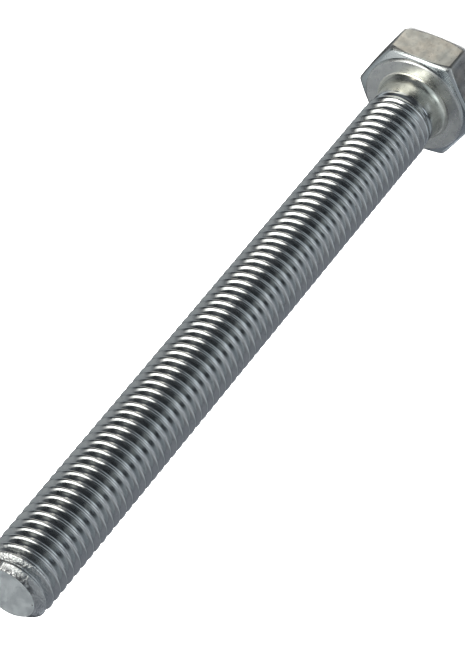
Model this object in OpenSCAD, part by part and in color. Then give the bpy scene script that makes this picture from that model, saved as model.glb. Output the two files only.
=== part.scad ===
// Hex bolt with a full-length metric thread.
// Origin: centre of the bearing face under the head. +Z runs along the shank to the tip.
// One forging in reality. The nodes are its functional zones and meet face to face.

/* [Thread] */
// Nominal thread diameter
nominal_diameter = 12; // [10:0.5:14]
// Axial distance between neighbouring crests
thread_pitch = 1.75; // [1.25:0.25:2]
// How far the real crest diameter is below the nominal one
crest_allowance = 0.15; // [0.05:0.05:0.3]
// Length from the bearing face to the tip
bolt_length = 120; // [30:5:160]
// Distance from the bearing face to the first crest
thread_start = 4.1; // [3.5:0.1:6]
// Angle round the axis at which the groove starts
groove_start_angle = 185; // [0:5:355]
// Turns over which the groove fades out towards the head
runout_turns = 0.75; // [0.5:0.25:1.5]
// Groove facets per turn
facets_per_turn = 18; // [16:2:20]

/* [Head] */
// Width across the flats
across_flats = 18.85; // [18:0.05:20]
// Height of the head, washer face included
head_height = 7.5; // [6:0.1:9]
// Slope of the cone that breaks the corners on the outer side
top_chamfer_angle = 30; // [15:1:35]
// Slope of the cone that breaks the corners on the bearing side
under_chamfer_angle = 18; // [10:1:25]
// Where both cones start, as a share of the width across the flats
chamfer_circle_share = 0.95; // [0.9:0.01:0.97]

/* [Washer face] */
// How far the raised ring stays inside the circle where the lower cone starts
washer_face_inset = 0.05; // [0:0.05:0.6]
// Height of the raised ring
washer_face_height = 0.6; // [0.2:0.1:0.7]

/* [Neck] */
// How far the fillet reaches out over the bearing face
fillet_width = 1; // [0.4:0.1:1.4]
// How far the fillet reaches up the neck
fillet_height = 1.8; // [0.4:0.1:2.2]

/* [Point] */
// Length of the chamfered end
point_length = 1.5; // [0.8:0.1:2]
// Slope of the end chamfer, measured from the axis
point_angle = 45; // [30:1:50]

/* [Hidden] */
$fn = 96;

steel = [0.74, 0.75, 0.77];
bearing_steel = [0.66, 0.67, 0.69];
neck_steel = [0.70, 0.71, 0.72];
end_steel = [0.60, 0.63, 0.66];

crest_r = (nominal_diameter - crest_allowance) / 2;
groove_depth = 0.6134 * thread_pitch;
root_r = crest_r - groove_depth;
root_width = thread_pitch / 6;
flank_slope = tan(30);
blank_r = crest_r - 0.2 * thread_pitch;
cutter_margin = 0.12;
cutter_r = crest_r + cutter_margin;

neck_end = thread_start - (crest_r - blank_r);
foot_r = blank_r + fillet_width;
end_r = crest_r - point_length * tan(point_angle);
point_start = bolt_length - point_length;

chamfer_r = chamfer_circle_share * across_flats / 2;
washer_r = chamfer_r - washer_face_inset;
corner_r = across_flats / sqrt(3);
cone_r = corner_r + 1;
hex_top = -head_height;
hex_bottom = -washer_face_height;
hex_height = hex_bottom - hex_top;

point_turn = (point_start - thread_start) / thread_pitch;
end_turn = (bolt_length - thread_start) / thread_pitch;
point_first_step = floor((point_turn - 1.5) * facets_per_turn);
shank_last_step = ceil((point_turn + 1.5) * facets_per_turn);
end_last_step = ceil((end_turn + 1.5) * facets_per_turn);

function cut_share(i) = min(1, i / (runout_turns * facets_per_turn));
function floor_r(i) = cutter_r - 0.03 - cut_share(i) * (cutter_r - 0.03 - root_r);
function mouth_width(i) = root_width + 2 * (cutter_r - floor_r(i)) * flank_slope;
function helix_angle(i) = groove_start_angle + 360 * i / facets_per_turn;
function on_helix(r, dz, i) = [
    r * cos(helix_angle(i)),
    r * sin(helix_angle(i)),
    thread_start + thread_pitch * i / facets_per_turn + dz
];
function groove_ring(i) = [
    on_helix(floor_r(i), -root_width / 2, i),
    on_helix(floor_r(i), root_width / 2, i),
    on_helix(cutter_r, mouth_width(i) / 2, i),
    on_helix(cutter_r, -mouth_width(i) / 2, i)
];

module groove_cutter(first_step, last_step) {
    points = [for (i = [first_step : last_step]) each groove_ring(i)];
    last = 4 * (last_step - first_step);
    sides = [
        for (i = [0 : last_step - first_step - 1]) for (j = [0 : 3]) each [
            [4 * i + j, 4 * i + 4 + j, 4 * i + 4 + (j + 1) % 4],
            [4 * i + j, 4 * i + 4 + (j + 1) % 4, 4 * i + (j + 1) % 4]
        ]
    ];
    start_cap = [[0, 1, 2], [0, 2, 3]];
    end_cap = [[last, last + 2, last + 1], [last, last + 3, last + 2]];
    polyhedron(points, concat(sides, start_cap, end_cap));
}

module blank_rod() {
    rotate_extrude()
        polygon([
            [0, neck_end],
            [blank_r, neck_end],
            [crest_r, thread_start],
            [crest_r, point_start],
            [0, point_start]
        ]);
}

module hex_head() {
    color(steel)
        intersection() {
            translate([0, 0, hex_top])
                cylinder(h = hex_height, r = corner_r, $fn = 6);
            rotate_extrude()
                polygon([
                    [0, hex_top],
                    [chamfer_r, hex_top],
                    [cone_r, hex_top + (cone_r - chamfer_r) * tan(top_chamfer_angle)],
                    [cone_r, hex_bottom - (cone_r - chamfer_r) * tan(under_chamfer_angle)],
                    [chamfer_r, hex_bottom],
                    [0, hex_bottom]
                ]);
        }
}

module washer_face() {
    color(bearing_steel)
        rotate_extrude()
            translate([foot_r, -washer_face_height])
                square([washer_r - foot_r, washer_face_height]);
}

module neck() {
    fillet_steps = 8;
    fillet_points = [
        for (i = [0 : fillet_steps]) let (a = 90 * i / fillet_steps) [
            blank_r + fillet_width * (1 - sin(a)),
            fillet_height * (1 - cos(a))
        ]
    ];
    color(neck_steel)
        rotate_extrude()
            polygon(concat(
                [[0, -washer_face_height], [foot_r, -washer_face_height]],
                fillet_points,
                [[blank_r, neck_end], [0, neck_end]]
            ));
}

module threaded_shank() {
    color(steel)
        difference() {
            blank_rod();
            groove_cutter(0, shank_last_step);
        }
}

module point() {
    color(end_steel)
        difference() {
            translate([0, 0, point_start])
                cylinder(h = point_length, r1 = crest_r, r2 = end_r);
            groove_cutter(point_first_step, end_last_step);
        }
}

hex_head();
washer_face();
neck();
threaded_shank();
point();
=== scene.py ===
"""Looks of the plated hex bolt: rolled thread, forged head, studio light and the photograph's view."""

import math
import random

import bmesh
import bpy
import numpy as np
from mathutils import Matrix, Vector, noise


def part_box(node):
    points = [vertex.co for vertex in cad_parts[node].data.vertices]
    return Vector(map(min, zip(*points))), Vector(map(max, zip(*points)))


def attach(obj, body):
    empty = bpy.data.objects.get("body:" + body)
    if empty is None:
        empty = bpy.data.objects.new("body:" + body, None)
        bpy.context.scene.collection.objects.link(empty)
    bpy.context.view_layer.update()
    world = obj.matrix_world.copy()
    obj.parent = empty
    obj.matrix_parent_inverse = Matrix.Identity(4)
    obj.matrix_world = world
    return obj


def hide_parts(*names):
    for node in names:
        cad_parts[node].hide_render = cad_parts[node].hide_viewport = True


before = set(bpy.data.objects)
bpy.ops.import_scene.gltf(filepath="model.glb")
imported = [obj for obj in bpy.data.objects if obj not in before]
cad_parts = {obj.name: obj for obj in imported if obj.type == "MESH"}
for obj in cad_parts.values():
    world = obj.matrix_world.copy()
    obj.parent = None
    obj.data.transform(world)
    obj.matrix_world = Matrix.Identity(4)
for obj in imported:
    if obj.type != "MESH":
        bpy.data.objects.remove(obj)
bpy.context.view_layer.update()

MM = 0.001
SEED = 12
BODY = "root"

# ---------------------------------------------------------------- sizes, in metres
# The nodes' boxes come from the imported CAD. The sizes that a box can't show repeat part.scad's.

HEAD_LOW, HEAD_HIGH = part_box("hex_head")
RING_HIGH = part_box("washer_face")[1]
SHANK_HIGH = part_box("threaded_shank")[1]
POINT_LOW, POINT_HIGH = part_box("point")

HEAD_TOP = HEAD_LOW.z
HEX_UNDER = HEAD_HIGH.z
HALF_FLATS = HEAD_HIGH.y
CHAMFER_R = 0.95 * HALF_FLATS
TOP_SLOPE = math.tan(math.radians(30))
UNDER_SLOPE = math.tan(math.radians(18))
RING_R = RING_HIGH.x

CREST_R = SHANK_HIGH.x
TIP = POINT_HIGH.z
POINT_START = POINT_LOW.z
END_R = CREST_R - (TIP - POINT_START)

PITCH = 1.75 * MM
ROOT_R = CREST_R - 0.6134 * PITCH
NECK_R = CREST_R - 0.2 * PITCH
THREAD_START = 4.1 * MM
THREAD_FOOT = THREAD_START - (CREST_R - NECK_R)
THREAD_PHASE = math.radians(185)
FILLET_WIDTH = 1.0 * MM
FILLET_HEIGHT = 1.8 * MM

# Wear and rounding that only the visual model has.
HEX_CORNER_R = 0.8 * MM
SEAM_DEPTH = 0.02 * MM
SEAM_SHARE = 0.025
CONE_RIPPLE = 0.05 * MM
CONE_SOFTNESS = 0.06 * MM
FADE_LENGTH = 1.9 * PITCH
DENTS = 150


# ---------------------------------------------------------------- mesh helpers

def rounded(points, radii, steps=5):
    """The open outline through points, with each inner corner turned into an arc of its radius."""
    out = [points[0]]
    for before, corner, after, radius in zip(points, points[1:], points[2:], radii):
        a, b, c = Vector(before), Vector(corner), Vector(after)
        to_a, to_c = (a - b).normalized(), (c - b).normalized()
        half = to_a.angle(to_c) / 2
        if half > math.radians(89.5):
            out.append(corner)
            continue
        reach = min(radius / math.tan(half), 0.49 * (a - b).length, 0.49 * (c - b).length)
        radius = reach * math.tan(half)
        centre = b + (to_a + to_c).normalized() * (radius / math.sin(half))
        start, end = b + to_a * reach - centre, b + to_c * reach - centre
        sweep = start.angle_signed(end)
        for k in range(steps + 1):
            turn = Matrix.Rotation(-sweep * k / steps, 2)
            out.append(tuple(centre + turn @ start))
    out.append(points[-1])
    return out


def make_mesh(name, verts, faces, smooth=True):
    mesh = bpy.data.meshes.new(name)
    mesh.from_pydata([tuple(v) for v in verts], [], faces)
    mesh.validate()
    mesh.update()
    if smooth:
        mesh.polygons.foreach_set("use_smooth", [True] * len(mesh.polygons))
    obj = bpy.data.objects.new(name, mesh)
    bpy.context.scene.collection.objects.link(obj)
    return obj


def ring_faces(rings, columns):
    """Quads between neighbouring closed rings of the same length."""
    faces = []
    for i in range(rings - 1):
        for j in range(columns):
            a, b = i * columns + j, i * columns + (j + 1) % columns
            faces.append((a, b, b + columns, a + columns))
    return faces


def lathe(name, profile, columns=192, cap_end=False):
    """Revolves (radius, height) points round Z; the cap closes the last ring with a fan."""
    verts = []
    for radius, height in profile:
        for j in range(columns):
            turn = math.tau * j / columns
            verts.append((radius * math.cos(turn), radius * math.sin(turn), height))
    faces = ring_faces(len(profile), columns)
    if cap_end:
        verts.append((0, 0, profile[-1][1]))
        hub = len(verts) - 1
        base = (len(profile) - 1) * columns
        faces += [(hub, base + j, base + (j + 1) % columns) for j in range(columns)]
    return make_mesh(name, verts, faces)


def trim(obj, height, keep_below):
    """Cuts the mesh square at a height and drops the far side."""
    bm = bmesh.new()
    bm.from_mesh(obj.data)
    geometry = bm.verts[:] + bm.edges[:] + bm.faces[:]
    bmesh.ops.bisect_plane(
        bm, geom=geometry, dist=1e-7, plane_co=(0, 0, height), plane_no=(0, 0, 1),
        clear_outer=keep_below, clear_inner=not keep_below,
    )
    bm.to_mesh(obj.data)
    bm.free()


# ---------------------------------------------------------------- the head

def hex_outline(corner_radius, steps=6, along=10):
    """Points round a hexagon with rounded corners, flats square to Y."""
    inner = HALF_FLATS - corner_radius

    def hub(side):
        corner = math.radians(60 * side)
        return Vector((math.cos(corner), math.sin(corner))) * inner / math.cos(math.radians(30))

    points = []
    for side in range(6):
        corner = math.radians(60 * side)
        for k in range(steps + 1):
            a = corner + math.radians(-30 + 60 * k / steps)
            points.append(hub(side) + corner_radius * Vector((math.cos(a), math.sin(a))))
        normal = corner + math.radians(30)
        out = corner_radius * Vector((math.cos(normal), math.sin(normal)))
        start, end = hub(side) + out, hub(side + 1) + out
        for k in range(1, along):
            points.append(start.lerp(end, k / along))
    return points


def head_column(radius):
    """Profile of the head from its crown to its underside at a place where the hexagon is radius wide.

    The edges are worn rounder towards the corners, where the hexagon reaches beyond its flats.
    """
    rise = (radius - CHAMFER_R) * TOP_SLOPE
    drop = (radius - CHAMFER_R) * UNDER_SLOPE
    beyond = radius - HALF_FLATS
    bevel = 0.36 * MM + 0.2 * beyond
    outline = [
        (0.90 * CHAMFER_R, HEAD_TOP),
        (CHAMFER_R, HEAD_TOP),
        (radius, HEAD_TOP + rise),
        (radius, HEX_UNDER - drop - 0.5 * bevel),
        (radius - bevel, HEX_UNDER - drop + bevel * UNDER_SLOPE),
        (CHAMFER_R, HEX_UNDER),
        (0.97 * RING_R, HEX_UNDER),
    ]
    top_soft = 0.1 * MM + 0.12 * beyond
    under_soft = 0.15 * MM + 0.6 * beyond
    return rounded(outline, [0.3 * MM, top_soft, under_soft, 0.12 * MM, 0.05 * MM])


def make_head():
    columns = []
    for p in hex_outline(HEX_CORNER_R):
        way = p.normalized()
        columns.append([(way.x * r, way.y * r, z) for r, z in head_column(p.length)])
    rows, count = len(columns[0]), len(columns)
    verts = [columns[j][i] for i in range(rows) for j in range(count)]
    faces = ring_faces(rows, count)
    inner = 0
    for share in (0.75, 0.5, 0.25):
        base = len(verts)
        verts += [(x * share, y * share, z) for x, y, z in verts[:count]]
        faces += [
            (inner + j, base + j, base + (j + 1) % count, inner + (j + 1) % count)
            for j in range(count)
        ]
        inner = base
    verts.append((0, 0, HEAD_TOP))
    hub = len(verts) - 1
    faces += [(hub, inner + (j + 1) % count, inner + j) for j in range(count)]
    return make_mesh("head_forging", verts, faces)


def make_bearing_ring():
    outline = [
        (RING_R + 0.02 * MM, HEX_UNDER - 0.02 * MM),
        (RING_R, HEX_UNDER + 0.05 * MM),
        (RING_R - 0.04 * MM, -0.2 * MM),
        (RING_R - 0.32 * MM, 0),
        (NECK_R + FILLET_WIDTH, 0),
    ]
    return lathe("bearing_ring", rounded(outline, [0.06 * MM, 0.1 * MM, 0.12 * MM]))


def make_neck(steps=16):
    outline = []
    for k in range(steps + 1):
        a = math.radians(90 * k / steps)
        outline.append((NECK_R + FILLET_WIDTH * (1 - math.sin(a)), FILLET_HEIGHT * (1 - math.cos(a))))
    outline.append((NECK_R, THREAD_FOOT))
    return lathe("neck_fillet", outline)


# ---------------------------------------------------------------- the thread

def thread_profile(count=26):
    """Shares of a pitch, from one root centre towards the next, and the thread's radius at each.

    The straight-sided form is averaged over a short window, as rolling rounds its corners.
    """
    root_half, crest_half, window = 1 / 12, 1 / 14, 0.09
    shares = np.arange(count) / count
    spread = np.linspace(-window, window, 29)
    from_crest = np.abs((shares[:, None] + spread[None, :]) % 1 - 0.5)
    level = np.clip((0.5 - root_half - from_crest) / (0.5 - root_half - crest_half), 0, 1).mean(axis=1)
    return shares, ROOT_R + (CREST_R - ROOT_R) * level / level.max()


def wander(values, step, seed):
    """Smooth random numbers from -1 to 1 along values, changing over about one step."""
    offset = Vector((seed * 7.31, seed * 1.7, 0.4))
    return np.array([noise.noise(Vector((v / step, 0, 0)) + offset) for v in values])


def dents(angle, z, r):
    """The change in radius at each point from small handling nicks in the crests."""
    rng = random.Random(SEED)
    out = np.zeros_like(z)
    crest = (r - ROOT_R) / (CREST_R - ROOT_R)
    for _ in range(DENTS):
        where = rng.uniform(0, math.tau)
        height = rng.uniform(THREAD_START, TIP)
        depth = rng.uniform(0.02, 0.09) * MM
        size = rng.uniform(0.25, 0.6) * MM
        near = np.abs(z[:, 0] - height) < 2 * PITCH
        if not near.any():
            continue
        across = np.angle(np.exp(1j * (angle[near] - where))) * CREST_R
        out[near] -= depth * crest[near] * np.exp(-(across**2 + (z[near] - height) ** 2) / size**2)
    return out


def make_thread(turn_columns=72):
    """One strip, a pitch wide, wound from neck to tip, each turn's edge joined to the next turn's."""
    shares, radii = thread_profile()
    rows = len(shares)
    steps = int(((TIP - THREAD_START) / PITCH + 2.0) * turn_columns)
    turn = np.arange(steps + 1) / turn_columns
    angle = math.tau * turn + THREAD_PHASE
    z = THREAD_START + PITCH * (turn[:, None] - 1.0 + shares[None, :])

    fade = np.clip((z - THREAD_FOOT) / FADE_LENGTH, 0, 1)
    fade = fade * fade * (3 - 2 * fade)
    r = NECK_R + fade * (radii[None, :] - NECK_R)
    seam = SEAM_DEPTH * np.clip(0.6 + wander(angle, 0.9, 1) + 0.7 * wander(angle, 0.21, 2), 0, 1.4)
    r = r - fade * seam[:, None] * np.exp(-(((shares[None, :] - 0.5) / SEAM_SHARE) ** 2))
    r = r + dents(np.broadcast_to(angle[:, None], z.shape), z, np.broadcast_to(radii, z.shape))

    ripple = CONE_RIPPLE * (wander(angle, 0.35, 3) + 0.6 * wander(angle, 0.12, 4))[:, None]
    cone = END_R + np.maximum(TIP - z, 0) + ripple * np.clip((TIP - z) / (0.4 * MM), 0, 1)
    r = -CONE_SOFTNESS * np.logaddexp(-r / CONE_SOFTNESS, -cone / CONE_SOFTNESS)

    x, y = r * np.cos(angle)[:, None], r * np.sin(angle)[:, None]
    verts = np.stack([x, y, z], axis=-1).reshape(-1, 3)
    faces = []
    for a in range(steps):
        for j in range(rows - 1):
            p = a * rows + j
            faces.append((p, p + rows, p + rows + 1, p + 1))
        if a + 1 + turn_columns <= steps:
            p, q = a * rows + rows - 1, (a + turn_columns) * rows
            faces.append((p, p + rows, q + rows, q))
    thread = make_mesh("rolled_thread", verts, faces)
    trim(thread, TIP, keep_below=True)
    trim(thread, THREAD_FOOT, keep_below=False)
    return thread


def make_end_face():
    return lathe("end_face", [(END_R, TIP), (0.6 * END_R, TIP), (0.3 * END_R, TIP)], cap_end=True)


# ---------------------------------------------------------------- materials

class Finish:
    """A metal material under construction: nodes are added in object coordinates, which are metres."""

    def __init__(self, name, roughness):
        self.material = bpy.data.materials.new(name)
        self.material.use_nodes = True
        self.nodes = self.material.node_tree.nodes
        self.links = self.material.node_tree.links
        self.shader = self.nodes["Principled BSDF"]
        self.shader.inputs["Metallic"].default_value = 1.0
        self.place = self.nodes.new("ShaderNodeTexCoord").outputs["Object"]
        self.roughness = roughness

    def feed(self, socket, value):
        """Links a socket, or sets a number, a vector or, on a colour socket, red, green and blue."""
        if isinstance(value, bpy.types.NodeSocket):
            self.links.new(value, socket)
        elif socket.type == "RGBA":
            socket.default_value = (*value, 1)
        else:
            socket.default_value = value

    def node(self, kind, settings=None, **inputs):
        """Adds a node; a socket's name is written with _ for its spaces."""
        made = self.nodes.new("ShaderNode" + kind)
        for key, value in (settings or {}).items():
            setattr(made, key, value)
        for key, value in inputs.items():
            self.feed(made.inputs[key.replace("_", " ")], value)
        return made

    def between(self, value, low, high, out_low=0.0, out_high=1.0):
        return self.node(
            "MapRange", {"interpolation_type": "SMOOTHSTEP"},
            Value=value, From_Min=low, From_Max=high, To_Min=out_low, To_Max=out_high,
        ).outputs["Result"]

    def mix(self, factor, first, second):
        made = self.node("Mix", {"data_type": "RGBA"})
        for index, value in ((0, factor), (6, first), (7, second)):
            self.feed(made.inputs[index], value)
        return made.outputs[2]

    def math(self, operation, first, second=0.0):
        made = self.node("Math", {"operation": operation})
        self.feed(made.inputs[0], first)
        self.feed(made.inputs[1], second)
        return made.outputs[0]

    def noise(self, feature, detail=3.0, stretch=(1, 1, 1), distortion=0.0):
        """Soft noise whose features are about that many metres across."""
        scaled = self.node("VectorMath", {"operation": "MULTIPLY"}, Vector=self.place)
        scaled.inputs[1].default_value = stretch
        return self.node(
            "TexNoise", Vector=scaled.outputs[0], Scale=1.0 / feature, Detail=detail, Distortion=distortion,
        ).outputs["Fac"]

    def specks(self, feature, share):
        """1 in small round spots, 0 elsewhere."""
        cells = self.node("TexVoronoi", Vector=self.place, Scale=1.0 / feature, Randomness=1.0)
        return self.between(cells.outputs["Distance"], share, share * 0.6)

    def spot(self, centre, size):
        """1 round a point, 0 beyond a distance of size."""
        apart = self.node("VectorMath", {"operation": "DISTANCE"}, Vector=self.place)
        apart.inputs[1].default_value = centre
        return self.between(apart.outputs["Value"], size, 0.5 * size)

    def height(self):
        return self.node("SeparateXYZ", Vector=self.place).outputs["Z"]

    def radius(self):
        apart = self.node("SeparateXYZ", Vector=self.place)
        flat = self.node("CombineXYZ", X=apart.outputs["X"], Y=apart.outputs["Y"])
        return self.node("VectorMath", {"operation": "LENGTH"}, Vector=flat.outputs[0]).outputs["Value"]

    def finish(self, colour, bumps, where=None, there=1.0):
        """Connects the colour and the (height, metres) bumps, with roughness that drifts a little.

        Where the mask is 1, the roughness is multiplied by there.
        """
        self.feed(self.shader.inputs["Base Color"], colour)
        drift = self.noise(1.3 * MM, detail=5.0)
        rough = self.between(drift, 0.3, 0.7, self.roughness * 0.8, self.roughness * 1.25)
        if where is not None:
            rough = self.math("MULTIPLY", rough, self.between(where, 0, 1, 1.0, there))
        self.feed(self.shader.inputs["Roughness"], rough)
        normal = None
        for height, depth in bumps:
            bump = self.node("Bump", Height=height, Distance=depth)
            if normal is not None:
                self.feed(bump.inputs["Normal"], normal)
            normal = bump.outputs["Normal"]
        self.feed(self.shader.inputs["Normal"], normal)
        return self.material


def head_zinc():
    """Satin plate over forged flats: warm blotches, fine drawing lines along the axis and small pits."""
    look = Finish("head_zinc", 0.34)
    blotch = look.between(look.noise(2.4 * MM, detail=6.0, distortion=0.4), 0.25, 0.75)
    colour = look.mix(blotch, (0.52, 0.53, 0.53), (0.61, 0.57, 0.53))
    grain = look.between(look.noise(0.3 * MM, detail=5.0), 0.3, 0.7)
    colour = look.mix(look.math("MULTIPLY", grain, 0.3), colour, (0.45, 0.45, 0.45))
    under = look.between(look.height(), HEX_UNDER - 0.8 * MM, HEX_UNDER - 0.3 * MM)
    colour = look.mix(under, colour, (0.6, 0.64, 0.66))
    pits = look.specks(0.9 * MM, 0.16)
    colour = look.mix(look.math("MULTIPLY", pits, 0.4), colour, (0.25, 0.24, 0.23))
    lines = look.noise(0.16 * MM, detail=2.0, stretch=(1, 1, 0.12))
    bumps = [(grain, 0.006 * MM), (lines, 0.004 * MM), (pits, -0.01 * MM)]
    return look.finish(colour, bumps, where=under, there=0.5)


def bearing_zinc():
    """Brighter satin ring with faint turning marks and pale rubbed spots."""
    look = Finish("bearing_zinc", 0.3)
    cloud = look.between(look.noise(1.8 * MM, detail=5.0), 0.35, 0.65)
    colour = look.mix(cloud, (0.66, 0.67, 0.67), (0.74, 0.75, 0.74))
    rubbed = look.between(look.noise(0.5 * MM, detail=6.0), 0.62, 0.76)
    colour = look.mix(look.math("MULTIPLY", rubbed, 0.5), colour, (0.85, 0.85, 0.84))
    turning = look.math("SINE", look.math("MULTIPLY", look.radius(), math.tau / (0.22 * MM)))
    return look.finish(colour, [(turning, 0.0003 * MM)])


def neck_zinc():
    """Bright, slightly warm plate with fine marks round the neck."""
    look = Finish("neck_zinc", 0.21)
    cloud = look.between(look.noise(1.5 * MM, detail=5.0), 0.3, 0.7)
    colour = look.mix(cloud, (0.66, 0.66, 0.61), (0.76, 0.76, 0.69))
    lines = look.noise(0.2 * MM, detail=3.0, stretch=(0.15, 0.15, 1))
    return look.finish(colour, [(lines, 0.004 * MM)])


def thread_zinc():
    """Bright rolled flanks, darkened towards the root by painted shade, with dull stains and a torn,
    flecked tip.
    """
    look = Finish("thread_zinc", 0.12)
    cloud = look.between(look.noise(2.2 * MM, detail=5.0), 0.3, 0.7)
    colour = look.mix(cloud, (0.62, 0.64, 0.655), (0.69, 0.70, 0.705))
    # Painted shade: the plate colour darkens towards the thread roots, where the grooves lie in shade.
    painted_root_shade = look.between(look.radius(), ROOT_R + 0.1 * MM, ROOT_R + 0.75 * MM, 1.0, 0.0)
    colour = look.mix(look.math("MULTIPLY", painted_root_shade, 0.25), colour, (0.3, 0.31, 0.33))
    stain = look.between(look.noise(0.6 * MM, detail=6.0), 0.62, 0.72)
    colour = look.mix(look.math("MULTIPLY", stain, 0.5), colour, (0.42, 0.42, 0.42))
    tip = look.between(look.height(), POINT_START - 3.5 * MM, POINT_START + 0.6 * MM)
    torn = look.math("MULTIPLY", tip, look.between(look.noise(0.45 * MM, detail=8.0), 0.35, 0.65))
    rim = look.between(look.height(), TIP - 0.7 * MM, TIP - 0.2 * MM)
    flecks = look.math("MULTIPLY", rim, look.between(look.noise(0.5 * MM, detail=5.0), 0.42, 0.52))
    flecks = look.math("MULTIPLY", flecks, look.spot((2.7 * MM, -4.05 * MM, TIP - 0.5 * MM), 4.0 * MM))
    colour = look.mix(look.math("MULTIPLY", flecks, 0.85), colour, (0.06, 0.06, 0.07))
    drag = look.noise(0.13 * MM, detail=3.0, stretch=(0.35, 0.35, 1))
    bumps = [(stain, -0.004 * MM), (drag, 0.003 * MM), (torn, 0.045 * MM)]
    return look.finish(colour, bumps, where=tip, there=1.3)


def end_zinc():
    """Matt blue-grey sheared end with grit, small spots and one nick."""
    look = Finish("end_zinc", 0.55)
    cloud = look.between(look.noise(2.5 * MM, detail=6.0), 0.3, 0.7)
    colour = look.mix(cloud, (0.78, 0.82, 0.84), (0.84, 0.87, 0.89))
    grit = look.noise(0.12 * MM, detail=4.0)
    spots = look.specks(1.1 * MM, 0.1)
    colour = look.mix(look.math("MULTIPLY", spots, 0.4), colour, (0.4, 0.43, 0.45))
    nick = look.spot((-2.1 * MM, -3.52 * MM, TIP), 0.16 * MM)
    colour = look.mix(nick, colour, (0.05, 0.05, 0.06))
    return look.finish(colour, [(grit, 0.008 * MM), (nick, -0.05 * MM)])


# ---------------------------------------------------------------- building

# Each piece with its finish, the CAD nodes that it stands for and its material slot in the record.
PIECES = [
    (make_head(), head_zinc(), ["hex_head"], "plated_steel_head"),
    (make_bearing_ring(), bearing_zinc(), ["washer_face"], "plated_steel_bearing"),
    (make_neck(), neck_zinc(), ["neck"], "plated_steel_neck"),
    (make_thread(), thread_zinc(), ["threaded_shank", "point"], "plated_steel_thread"),
    (make_end_face(), end_zinc(), ["point"], "plated_steel_end"),
]
for piece, finish, nodes, slot in PIECES:
    piece.data.materials.append(finish)
    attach(piece, BODY)
    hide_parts(*nodes)


# ---------------------------------------------------------------- camera

# The photograph's view: the point aimed at, the camera's place round it, in degrees, and the lens in mm.
AIM = Vector((0, 0, 58.1 * MM))
AZIMUTH, ELEVATION, ROLL = 34.42, 37.51, -140.27
DISTANCE = 466.7 * MM
LENS = 171.6


def facing(azimuth, elevation):
    """Unit vector from the object towards a viewer at that azimuth and elevation, in degrees."""
    a, e = math.radians(azimuth), math.radians(elevation)
    return Vector((math.sin(a) * math.cos(e), -math.cos(a) * math.cos(e), math.sin(e)))


def add_camera():
    data = bpy.data.cameras.new("camera")
    data.lens = LENS
    data.sensor_width = 36.0
    data.clip_start, data.clip_end = 0.01, 20
    camera = bpy.data.objects.new("camera", data)
    bpy.context.scene.collection.objects.link(camera)
    back = facing(AZIMUTH, ELEVATION)
    level = (-back).to_track_quat("-Z", "Y")
    spin = Matrix.Rotation(math.radians(ROLL), 4, "Z")
    camera.matrix_world = Matrix.Translation(AIM + back * DISTANCE) @ level.to_matrix().to_4x4() @ spin
    bpy.context.scene.camera = camera


# ---------------------------------------------------------------- studio

FRONT = facing(AZIMUTH, 0)
LEFT = Vector((-FRONT.y, FRONT.x, 0))
UP = Vector((0, 0, 1))

# Cards: azimuth from the camera's side round to the left, and elevation, in degrees; half width
# and half height as sines; roll in degrees; strength; colour.
CARDS = {
    "key_softbox": (66, 58, 0.62, 0.32, 18, 3.0, (1.0, 1.0, 0.94)),
    "low_warm_card": (58, -38, 0.34, 0.40, -20, 0.85, (1.0, 1.0, 0.90)),
    "low_left_card": (79, -46, 0.35, 0.49, -10, 0.82, (1.04, 1.0, 0.87)),
    "front_card": (-18, 17, 0.80, 0.47, 38, 0.45, (0.90, 1.02, 1.07)),
    "front_core": (-38, 10, 0.32, 0.25, 0, 0.48, (0.90, 1.0, 1.04)),
    "upper_right_card": (-80, 68, 0.40, 0.28, 0, 0.17, (0.95, 1.0, 1.03)),
    "right_wall": (-88, -8, 0.90, 0.60, 29, 0.32, (0.92, 1.02, 1.07)),
    "upper_right_wall": (-65, 30, 0.90, 0.76, -33, 0.30, (0.95, 1.0, 1.03)),
    "low_right_wall": (-26, -17, 0.90, 0.26, 104, 0.20, (0.92, 1.0, 0.97)),
    "low_right_strip": (-44, -36, 0.28, 0.13, 0, 0.85, (0.90, 1.0, 1.09)),
    "left_strip": (49, 31, 0.12, 0.47, 0, 1.1, (1.06, 0.99, 0.85)),
    "front_wall": (39, 9, 0.74, 0.64, -25, 0.10, (0.93, 1.0, 1.07)),
    "back_high_card": (148, 56, 0.43, 0.26, 0, 0.6, (1.0, 1.0, 0.97)),
    "back_card": (166, 40, 0.34, 0.28, 0, 0.28, (0.95, 1.0, 1.03)),
    "back_wall": (139, 19, 0.63, 0.60, -75, 0.33, (0.95, 1.0, 1.0)),
    "back_right_wall": (-143, 14, 0.90, 0.64, -81, 0.18, (0.95, 1.0, 1.1)),
    "back_right_card": (-142, -2, 0.22, 0.18, 0, 0.45, (0.95, 1.0, 1.05)),
    "low_back_card": (110, -30, 0.30, 0.50, 0, 0.55, (0.93, 1.0, 1.03)),
    "left_wall": (105, 5, 0.45, 0.40, 0, 0.1, (0.95, 1.0, 1.03)),
    "top_card": (162, 80, 0.22, 0.36, 51, 1.5, (0.97, 1.01, 0.97)),
    "under_card": (-93, -68, 0.50, 0.29, -34, 0.8, (1.02, 0.98, 1.08)),
    "low_right_fill": (-45, -62, 0.50, 0.30, 0, 0.3, (0.95, 1.0, 1.05)),
}
CARD_SOFTNESS = 0.5
ROOM = (0.045, 0.05, 0.055)

FLOOR_HALF = 1.6
WASH_HEIGHT = 1.5
WASH_SIZE = 2.5
WASH_POWER = 130


def towards(azimuth, elevation):
    """Unit vector to a card."""
    a, e = math.radians(azimuth), math.radians(elevation)
    return (FRONT * math.cos(a) + LEFT * math.sin(a)) * math.cos(e) + UP * math.sin(e)


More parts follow.
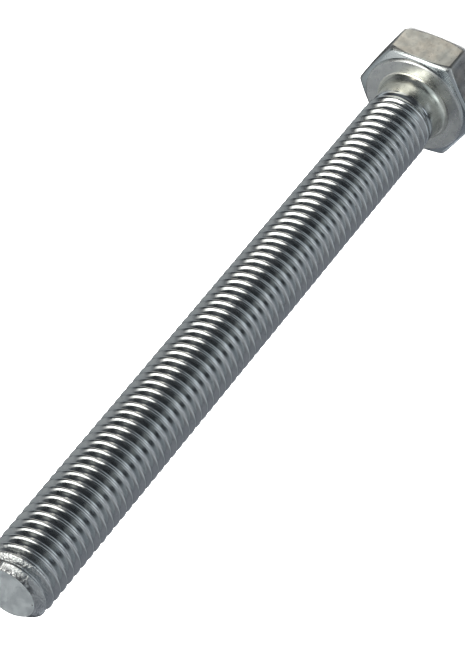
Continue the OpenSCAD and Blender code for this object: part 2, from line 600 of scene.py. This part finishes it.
def add_world():
    """A dim room with soft bright cards, seen only as light and reflections."""
    world = bpy.data.worlds.new("studio")
    bpy.context.scene.world = world
    world.use_nodes = True
    nodes, links = world.node_tree.nodes, world.node_tree.links
    direction = nodes.new("ShaderNodeTexCoord").outputs["Generated"]
    total = None
    for azimuth, elevation, half_width, half_height, roll, strength, colour in CARDS.values():
        way = towards(azimuth, elevation)
        across = UP.cross(way).normalized()
        axes = Matrix((across, way.cross(across), way)).transposed()
        axes = axes @ Matrix.Rotation(math.radians(roll), 3, "Z")
        local = nodes.new("ShaderNodeMapping")
        local.vector_type = "TEXTURE"
        links.new(direction, local.inputs["Vector"])
        local.inputs["Location"].default_value = way
        local.inputs["Rotation"].default_value = axes.to_euler()
        local.inputs["Scale"].default_value = (half_width, half_height, 1)
        round_card = nodes.new("ShaderNodeTexGradient")
        round_card.gradient_type = "SPHERICAL"
        links.new(local.outputs[0], round_card.inputs[0])
        bright = nodes.new("ShaderNodeMapRange")
        bright.interpolation_type = "SMOOTHSTEP"
        links.new(round_card.outputs["Fac"], bright.inputs["Value"])
        bright.inputs["From Max"].default_value = CARD_SOFTNESS
        bright.inputs["To Max"].default_value = strength
        tinted = nodes.new("ShaderNodeVectorMath")
        tinted.operation = "SCALE"
        tinted.inputs[0].default_value = colour
        links.new(bright.outputs["Result"], tinted.inputs["Scale"])
        added = nodes.new("ShaderNodeVectorMath")
        if total is None:
            added.inputs[0].default_value = ROOM
        else:
            links.new(total, added.inputs[0])
        links.new(tinted.outputs[0], added.inputs[1])
        total = added.outputs[0]
    links.new(total, nodes["Background"].inputs["Color"])


def add_floor():
    """A pale floor that lets the low cards' light and reflections through."""
    corners = [(-1, -1), (1, -1), (1, 1), (-1, 1)]
    verts = [(x * FLOOR_HALF, y * FLOOR_HALF, HEAD_TOP) for x, y in corners]
    floor = make_mesh("floor", verts, [(0, 1, 2, 3)], smooth=False)
    material = bpy.data.materials.new("pale_floor")
    material.use_nodes = True
    nodes, links = material.node_tree.nodes, material.node_tree.links
    shader = nodes["Principled BSDF"]
    shader.inputs["Roughness"].default_value = 0.9
    shader.inputs["Specular IOR Level"].default_value = 0.0
    speck = nodes.new("ShaderNodeTexNoise")
    speck.inputs["Scale"].default_value = 40.0
    tone = nodes.new("ShaderNodeMix")
    tone.data_type = "RGBA"
    tone.inputs["A"].default_value = (0.86, 0.86, 0.86, 1)
    tone.inputs["B"].default_value = (0.9, 0.9, 0.9, 1)
    links.new(speck.outputs["Fac"], tone.inputs["Factor"])
    links.new(tone.outputs["Result"], shader.inputs["Base Color"])
    floor.data.materials.append(material)
    floor.visible_glossy = False
    floor.visible_shadow = False


def add_floor_wash():
    """An overhead light that whitens the floor and stays out of the bolt's reflections."""
    data = bpy.data.lights.new("floor_wash", "AREA")
    data.shape = "SQUARE"
    data.size = WASH_SIZE
    data.energy = WASH_POWER
    light = bpy.data.objects.new("floor_wash", data)
    bpy.context.scene.collection.objects.link(light)
    light.location = AIM + UP * WASH_HEIGHT
    light.visible_camera = False
    light.visible_glossy = False


add_camera()
add_world()
add_floor()
add_floor_wash()
bpy.context.scene.view_settings.view_transform = "Standard"
